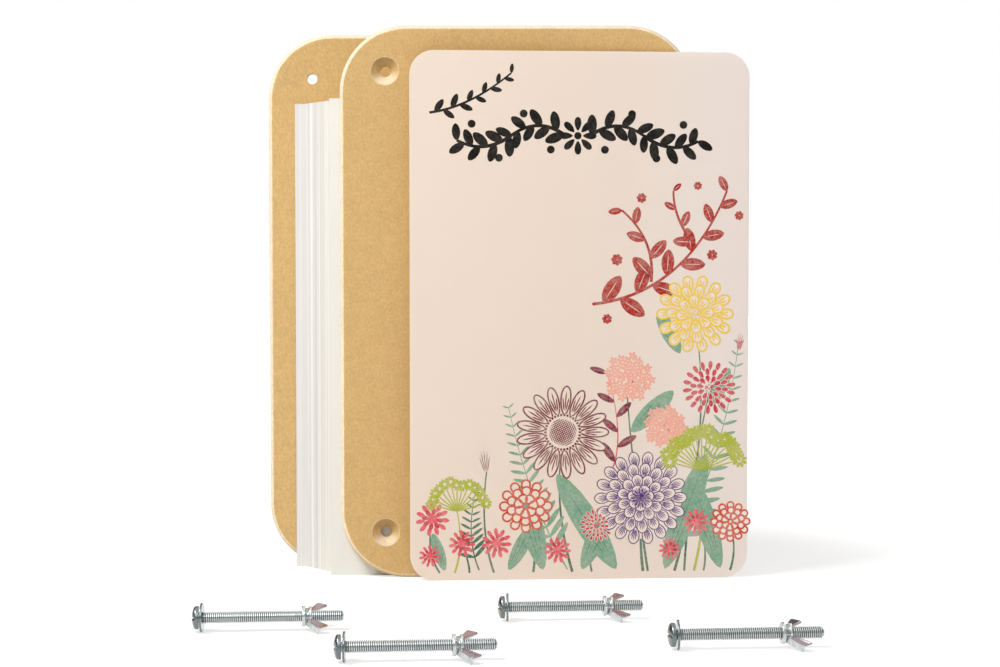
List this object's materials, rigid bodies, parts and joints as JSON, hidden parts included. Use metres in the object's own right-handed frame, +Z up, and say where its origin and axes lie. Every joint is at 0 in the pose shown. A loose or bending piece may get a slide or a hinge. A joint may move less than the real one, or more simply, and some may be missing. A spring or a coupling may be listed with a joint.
{
  "type": "flower press",
  "caption": "Upright taken-apart flower press: round-cornered fibreboard plates with a paper stack between them, a printed cover card, and loose wing-nut bolts in front.",
  "frame": {"origin": "on the floor, at the middle of the flat foot of the front board", "axes": "+X to the right, +Y away from the front, towards the back board, +Z up"},
  "size_m": [0.2141, 0.2312, 0.225],
  "materials": {
    "fibreboard": "matt raw fibreboard",
    "white_card": "matt",
    "blotting_paper": "matt",
    "printed_card": "satin print",
    "plated_bolt": "bright zinc plate",
    "plated_washer": "bright zinc plate",
    "plated_wing_nut": "bright zinc plate"
  },
  "bodies": {
    "back_board": {"back_board": "fibreboard"},
    "front_board": {"front_board": "fibreboard"},
    "cover_card": {"cover_card": "printed_card"},
    "divider_cards": {"divider_card_01": "white_card", "divider_card_02": "white_card", "divider_card_03": "white_card", "divider_card_04": "white_card", "divider_card_05": "white_card", "divider_card_06": "white_card", "divider_card_07": "white_card", "divider_card_08": "white_card", "divider_card_09": "white_card", "divider_card_10": "white_card", "divider_card_11": "white_card", "divider_card_12": "white_card", "divider_card_13": "white_card", "divider_card_14": "white_card", "divider_card_15": "white_card", "divider_card_16": "white_card", "divider_card_17": "white_card", "divider_card_18": "white_card", "divider_card_19": "white_card", "divider_card_20": "white_card"},
    "blotting_pad": {"blotting_sheet_01": "blotting_paper", "blotting_sheet_02": "blotting_paper", "blotting_sheet_03": "blotting_paper", "blotting_sheet_04": "blotting_paper", "blotting_sheet_05": "blotting_paper", "blotting_sheet_06": "blotting_paper", "blotting_sheet_07": "blotting_paper", "blotting_sheet_08": "blotting_paper"},
    "bolt_1": {"bolt_1": "plated_bolt"},
    "washer_1": {"washer_1": "plated_washer"},
    "wing_nut_1": {"wing_nut_1": "plated_wing_nut"},
    "bolt_2": {"bolt_2": "plated_bolt"},
    "washer_2": {"washer_2": "plated_washer"},
    "wing_nut_2": {"wing_nut_2": "plated_wing_nut"},
    "bolt_3": {"bolt_3": "plated_bolt"},
    "washer_3": {"washer_3": "plated_washer"},
    "wing_nut_3": {"wing_nut_3": "plated_wing_nut"},
    "bolt_4": {"bolt_4": "plated_bolt"},
    "washer_4": {"washer_4": "plated_washer"},
    "wing_nut_4": {"wing_nut_4": "plated_wing_nut"}
  },
  "joints": [
    {"name": "front_board_lift", "type": "slide", "parent": "back_board", "child": "front_board", "axis": [0, 0, 1], "range_m": [0, 0.23]},
    {"name": "cover_card_lift", "type": "slide", "parent": "back_board", "child": "cover_card", "axis": [0, 0, 1], "range_m": [0, 0.23]},
    {"name": "divider_cards_lift", "type": "slide", "parent": "back_board", "child": "divider_cards", "axis": [0, 0, 1], "range_m": [0, 0.23]},
    {"name": "blotting_pad_lift", "type": "slide", "parent": "back_board", "child": "blotting_pad", "axis": [0, 0, 1], "range_m": [0, 0.23]},
    {"name": "bolt_1_turn", "type": "hinge", "parent": "back_board", "child": "bolt_1", "pos_m": [-0.08741, -0.13104, 0.005], "axis": [-0.9954, -0.0958, 0], "range_deg": [-17231.01, 5662.14]},
    {"name": "wing_nut_1_travel", "type": "slide", "parent": "back_board", "child": "wing_nut_1", "axis": [0.9954, 0.0958, 0], "range_m": [-0.03349, 0.011]},
    {"name": "washer_1_slide", "type": "slide", "parent": "bolt_1", "child": "washer_1", "axis": [0.9954, 0.0958, 0], "range_m": [0, 0.03349]},
    {"name": "bolt_2_turn", "type": "hinge", "parent": "back_board", "child": "bolt_2", "pos_m": [-0.03384, -0.1872, 0.005], "axis": [-0.9954, -0.0958, 0], "range_deg": [-17231.01, 5662.14]},
    {"name": "wing_nut_2_travel", "type": "slide", "parent": "back_board", "child": "wing_nut_2", "axis": [0.9954, 0.0958, 0], "range_m": [-0.03349, 0.011]},
    {"name": "washer_2_slide", "type": "slide", "parent": "bolt_2", "child": "washer_2", "axis": [0.9954, 0.0958, 0], "range_m": [0, 0.03349]},
    {"name": "bolt_3_turn", "type": "hinge", "parent": "back_board", "child": "bolt_3", "pos_m": [0.01843, -0.10829, 0.005], "axis": [-0.9954, -0.0958, 0], "range_deg": [-17231.01, 5662.14]},
    {"name": "wing_nut_3_travel", "type": "slide", "parent": "back_board", "child": "wing_nut_3", "axis": [0.9954, 0.0958, 0], "range_m": [-0.03349, 0.011]},
    {"name": "washer_3_slide", "type": "slide", "parent": "bolt_3", "child": "washer_3", "axis": [0.9954, 0.0958, 0], "range_m": [0, 0.03349]},
    {"name": "bolt_4_turn", "type": "hinge", "parent": "back_board", "child": "bolt_4", "pos_m": [0.07445, -0.16502, 0.005], "axis": [-0.9954, -0.0958, 0], "range_deg": [-17231.01, 5662.14]},
    {"name": "wing_nut_4_travel", "type": "slide", "parent": "back_board", "child": "wing_nut_4", "axis": [0.9954, 0.0958, 0], "range_m": [-0.03349, 0.011]},
    {"name": "washer_4_slide", "type": "slide", "parent": "bolt_4", "child": "washer_4", "axis": [0.9954, 0.0958, 0], "range_m": [0, 0.03349]}
  ],
  "couplings": [
    {"joint": "bolt_1_turn", "follows": "wing_nut_1_travel", "rad_per_m": 8976},
    {"joint": "bolt_2_turn", "follows": "wing_nut_2_travel", "rad_per_m": 8976},
    {"joint": "bolt_3_turn", "follows": "wing_nut_3_travel", "rad_per_m": 8976},
    {"joint": "bolt_4_turn", "follows": "wing_nut_4_travel", "rad_per_m": 8976}
  ]
}
